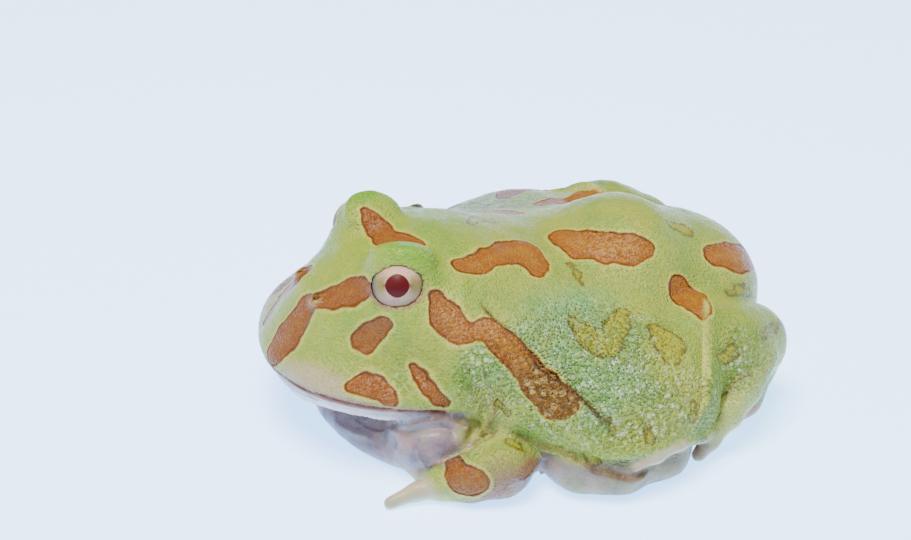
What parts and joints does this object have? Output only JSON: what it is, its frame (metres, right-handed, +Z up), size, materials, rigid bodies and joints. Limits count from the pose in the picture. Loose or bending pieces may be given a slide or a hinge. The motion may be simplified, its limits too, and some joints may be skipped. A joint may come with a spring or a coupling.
{
  "type": "horned frog figure",
  "caption": "Life-size sitting Argentine horned frog: broad round body, wide mouth, raised hooded eyes, folded legs; green skin with orange-brown patches.",
  "frame": {"origin": "on the floor under the middle of the body, on the flat of the belly that the frog rests on", "axes": "+Z up, -Y towards the snout, +X to the frog's left"},
  "size_m": [0.09, 0.0949, 0.0371],
  "materials": {
    "back_skin": "moist granular skin, yellow-green to mint, with orange-brown patches edged in pale yellow",
    "belly_skin": "moist skin, pinkish white mottled with lilac grey",
    "toe_skin": "moist skin, cream pink, slightly translucent",
    "eye": "wet and clear over a pinkish cream iris with a dark red pupil"
  },
  "bodies": {
    "root": {"torso": "back_skin", "head": "back_skin", "lower_jaw": "belly_skin", "eye_left": "eye", "eye_right": "eye", "hand_left": "toe_skin", "hand_right": "toe_skin", "forearm_left": "back_skin", "forearm_right": "back_skin", "upper_arm_left": "back_skin", "upper_arm_right": "back_skin", "foot_left": "toe_skin", "foot_right": "toe_skin", "shank_left": "back_skin", "shank_right": "back_skin", "thigh_left": "back_skin", "thigh_right": "back_skin"}
  },
  "joints": []
}
